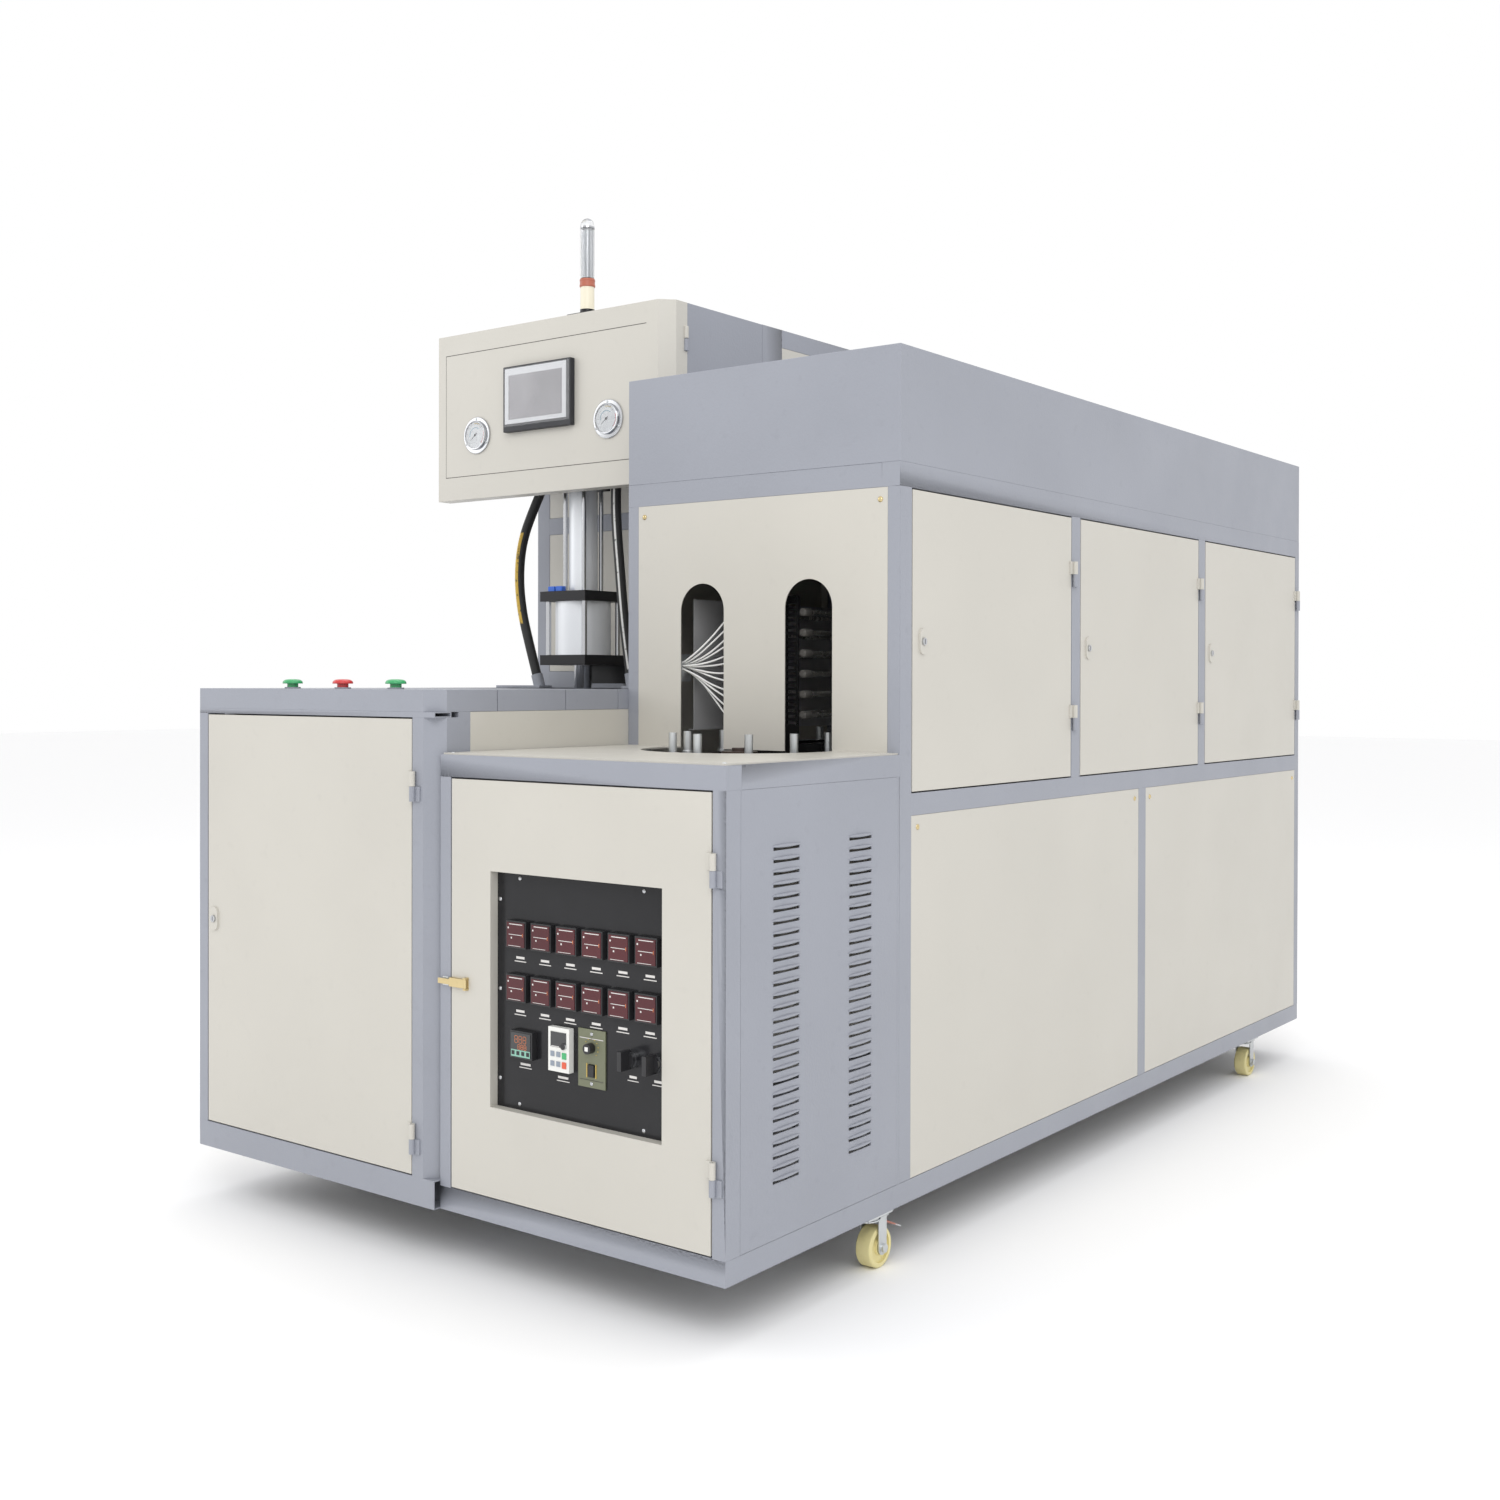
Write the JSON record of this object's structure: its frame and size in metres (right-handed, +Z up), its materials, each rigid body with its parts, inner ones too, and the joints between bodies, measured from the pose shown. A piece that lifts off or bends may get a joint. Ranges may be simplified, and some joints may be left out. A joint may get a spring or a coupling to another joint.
{
  "type": "blow moulding machine",
  "caption": "Two-stage bottle blowing machine: blowing host with overhead cylinders and push-button console, beside a preform heater with lamp oven and control door.",
  "frame": {"origin": "middle of the floor area, on the floor", "axes": "+Z up, +Y from the operator's side to the back, +X to the operator's right; the heater is on the right"},
  "size_m": [1.381, 2.686, 2.098],
  "materials": {
    "grey_paint": "hammered grey enamel",
    "cream_paint": "satin cream powder coat",
    "black_panel": "semi-gloss black",
    "instrument_plastic": "moulded black and dark red",
    "black_plastic": "moulded",
    "green_plastic": "moulded",
    "red_plastic": "moulded",
    "chrome_steel": "polished",
    "zinc_steel": "zinc plated",
    "machined_steel": "ground",
    "black_steel": "blackened",
    "drawn_aluminium": "drawn and anodised",
    "nylon": "cast nylon",
    "hose_rubber": "extruded",
    "quartz": "clear tube",
    "white_wire": "silicone sleeved",
    "lamp_plastic": "clear and tinted mouldings",
    "pedal_paint": "worn red on zinc",
    "brass": "nickel on brass"
  },
  "bodies": {
    "machine": {"heater_frame": "grey_paint", "heater_hood": "grey_paint", "table_top": "cream_paint", "oven_front_panel": "cream_paint", "heater_panels": "cream_paint", "louvre_panels": "grey_paint", "conveyor_chain": "machined_steel", "preform_holders": "drawn_aluminium", "conveyor_drive": "machined_steel", "lamp_racks": "black_steel", "heat_lamps": "quartz", "lamp_wires": "white_wire", "host_frame": "grey_paint", "host_panels": "cream_paint", "table_covers": "grey_paint", "levelling_feet": "zinc_steel", "clamp_unit": "machined_steel", "seal_cylinder": "drawn_aluminium", "stretch_cylinder": "drawn_aluminium", "head_box": "grey_paint", "head_lid": "cream_paint", "operator_screen": "black_plastic", "pressure_gauges": "chrome_steel", "signal_lamp": "lamp_plastic", "left_hose": "hose_rubber", "right_hose": "hose_rubber"},
    "control_door": {"control_door": "cream_paint", "control_panel": "black_panel", "panel_instruments": "instrument_plastic"},
    "door_latch": {"door_latch": "brass"},
    "left_selector": {"left_selector": "chrome_steel"},
    "right_selector": {"right_selector": "chrome_steel"},
    "speed_knob": {"speed_knob": "black_plastic"},
    "fan_rocker": {"fan_rocker": "black_plastic"},
    "oven_door_1": {"oven_door_1": "cream_paint"},
    "oven_lock_1": {"oven_lock_1": "chrome_steel"},
    "oven_door_2": {"oven_door_2": "cream_paint"},
    "oven_lock_2": {"oven_lock_2": "chrome_steel"},
    "oven_door_3": {"oven_door_3": "cream_paint"},
    "oven_lock_3": {"oven_lock_3": "chrome_steel"},
    "host_door": {"host_door": "cream_paint"},
    "host_door_lock": {"host_door_lock": "chrome_steel"},
    "left_start_button": {"left_start_button": "green_plastic"},
    "stop_button": {"stop_button": "red_plastic"},
    "right_start_button": {"right_start_button": "green_plastic"},
    "front_platen": {"front_platen": "machined_steel"},
    "rear_platen": {"rear_platen": "machined_steel"},
    "seal_piston_rod": {"seal_piston_rod": "chrome_steel"},
    "stretch_rod": {"stretch_rod": "chrome_steel"},
    "drive_sprocket": {"drive_sprocket": "machined_steel"},
    "left_front_fork": {"left_front_fork": "zinc_steel"},
    "left_front_wheel": {"left_front_wheel": "nylon"},
    "left_front_pedal": {"left_front_pedal": "pedal_paint"},
    "right_front_fork": {"right_front_fork": "zinc_steel"},
    "right_front_wheel": {"right_front_wheel": "nylon"},
    "right_front_pedal": {"right_front_pedal": "pedal_paint"},
    "left_rear_fork": {"left_rear_fork": "zinc_steel"},
    "left_rear_wheel": {"left_rear_wheel": "nylon"},
    "right_rear_fork": {"right_rear_fork": "zinc_steel"},
    "right_rear_wheel": {"right_rear_wheel": "nylon"}
  },
  "joints": [
    {"name": "control_door_hinge", "type": "hinge", "parent": "machine", "child": "control_door", "pos_m": [0.657, -1.323, 0.519], "axis": [0, 0, 1], "range_deg": [0, 110]},
    {"name": "door_latch_lever", "type": "hinge", "parent": "control_door", "child": "door_latch", "pos_m": [0.092, -1.323, 0.522], "axis": [0, 0, 1], "range_deg": [0, 95]},
    {"name": "left_selector_turn", "type": "hinge", "parent": "control_door", "child": "left_selector", "pos_m": [0.47, -1.299, 0.438], "axis": [0, 1, 0], "range_deg": [-45, 45]},
    {"name": "right_selector_turn", "type": "hinge", "parent": "control_door", "child": "right_selector", "pos_m": [0.524, -1.299, 0.438], "axis": [0, 1, 0], "range_deg": [-45, 45]},
    {"name": "speed_knob_turn", "type": "hinge", "parent": "control_door", "child": "speed_knob", "pos_m": [0.379, -1.299, 0.443], "axis": [0, 1, 0], "range_deg": [-140, 140]},
    {"name": "fan_rocker_tilt", "type": "hinge", "parent": "control_door", "child": "fan_rocker", "pos_m": [0.379, -1.3005, 0.404], "axis": [1, 0, 0], "range_deg": [-7, 7]},
    {"name": "oven_door_1_hinge", "type": "hinge", "parent": "machine", "child": "oven_door_1", "pos_m": [0.685, -0.099, 1.141], "axis": [0, 0, 1], "range_deg": [0, 110]},
    {"name": "oven_lock_1_turn", "type": "hinge", "parent": "oven_door_1", "child": "oven_lock_1", "pos_m": [0.679, -0.725, 1.14], "axis": [1, 0, 0], "range_deg": [0, 90]},
    {"name": "oven_door_2_hinge", "type": "hinge", "parent": "machine", "child": "oven_door_2", "pos_m": [0.685, 0.61, 1.141], "axis": [0, 0, 1], "range_deg": [0, 110]},
    {"name": "oven_lock_2_turn", "type": "hinge", "parent": "oven_door_2", "child": "oven_lock_2", "pos_m": [0.679, -0.026, 1.14], "axis": [1, 0, 0], "range_deg": [0, 90]},
    {"name": "oven_door_3_hinge", "type": "hinge", "parent": "machine", "child": "oven_door_3", "pos_m": [0.685, 1.319, 1.141], "axis": [0, 0, 1], "range_deg": [0, 110]},
    {"name": "oven_lock_3_turn", "type": "hinge", "parent": "oven_door_3", "child": "oven_lock_3", "pos_m": [0.679, 0.683, 1.14], "axis": [1, 0, 0], "range_deg": [0, 90]},
    {"name": "host_door_hinge", "type": "hinge", "parent": "machine", "child": "host_door", "pos_m": [-0.0325, -1.3375, 0.577], "axis": [0, 0, 1], "range_deg": [0, 110]},
    {"name": "host_door_lock_turn", "type": "hinge", "parent": "host_door", "child": "host_door_lock", "pos_m": [-0.6385, -1.3315, 0.577], "axis": [0, -1, 0], "range_deg": [0, 90]},
    {"name": "left_start_button_press", "type": "slide", "parent": "machine", "child": "left_start_button", "axis": [0, 0, -1], "range_m": [0, 0.005], "stiffness_N_per_m": 700, "springref_m": -0.003},
    {"name": "stop_button_press", "type": "slide", "parent": "machine", "child": "stop_button", "axis": [0, 0, -1], "range_m": [0, 0.005], "stiffness_N_per_m": 700, "springref_m": -0.003},
    {"name": "right_start_button_press", "type": "slide", "parent": "machine", "child": "right_start_button", "axis": [0, 0, -1], "range_m": [0, 0.005], "stiffness_N_per_m": 700, "springref_m": -0.003},
    {"name": "rear_platen_slide", "type": "slide", "parent": "machine", "child": "rear_platen", "axis": [0, -1, 0], "range_m": [0, 0.1]},
    {"name": "front_platen_slide", "type": "slide", "parent": "machine", "child": "front_platen", "axis": [0, 1, 0], "range_m": [0, 0.1]},
    {"name": "seal_piston_slide", "type": "slide", "parent": "machine", "child": "seal_piston_rod", "axis": [0, 0, -1], "range_m": [0, 0.06]},
    {"name": "stretch_rod_slide", "type": "slide", "parent": "machine", "child": "stretch_rod", "axis": [0, 0, -1], "range_m": [0, 0.2]},
    {"name": "drive_sprocket_turn", "type": "hinge", "parent": "machine", "child": "drive_sprocket", "pos_m": [0.345, -0.847, 0.911], "axis": [0, 0, 1], "continuous": true},
    {"name": "left_front_swivel", "type": "hinge", "parent": "machine", "child": "left_front_fork", "pos_m": [0.053, -0.862, 0.095], "axis": [0, 0, 1], "continuous": true},
    {"name": "left_front_roll", "type": "hinge", "parent": "left_front_fork", "child": "left_front_wheel", "pos_m": [0.053, -0.837, 0.0375], "axis": [1, 0, 0], "continuous": true},
    {"name": "left_front_pedal_press", "type": "hinge", "parent": "left_front_fork", "child": "left_front_pedal", "pos_m": [0.053, -0.836, 0.0872], "axis": [-1, 0, 0], "range_deg": [0, 12]},
    {"name": "right_front_swivel", "type": "hinge", "parent": "machine", "child": "right_front_fork", "pos_m": [0.647, -0.862, 0.095], "axis": [0, 0, 1], "continuous": true},
    {"name": "right_front_roll", "type": "hinge", "parent": "right_front_fork", "child": "right_front_wheel", "pos_m": [0.647, -0.837, 0.0375], "axis": [1, 0, 0], "continuous": true},
    {"name": "right_front_pedal_press", "type": "hinge", "parent": "right_front_fork", "child": "right_front_pedal", "pos_m": [0.647, -0.836, 0.0872], "axis": [-1, 0, 0], "range_deg": [0, 12]},
    {"name": "left_rear_swivel", "type": "hinge", "parent": "machine", "child": "left_rear_fork", "pos_m": [0.053, 0.993, 0.095], "axis": [0, 0, 1], "continuous": true},
    {"name": "left_rear_roll", "type": "hinge", "parent": "left_rear_fork", "child": "left_rear_wheel", "pos_m": [0.053, 1.018, 0.0375], "axis": [1, 0, 0], "continuous": true},
    {"name": "right_rear_swivel", "type": "hinge", "parent": "machine", "child": "right_rear_fork", "pos_m": [0.647, 0.993, 0.095], "axis": [0, 0, 1], "continuous": true},
    {"name": "right_rear_roll", "type": "hinge", "parent": "right_rear_fork", "child": "right_rear_wheel", "pos_m": [0.647, 1.018, 0.0375], "axis": [1, 0, 0], "continuous": true}
  ],
  "couplings": [
    {"joint": "front_platen_slide", "follows": "rear_platen_slide", "ratio": 1}
  ]
}
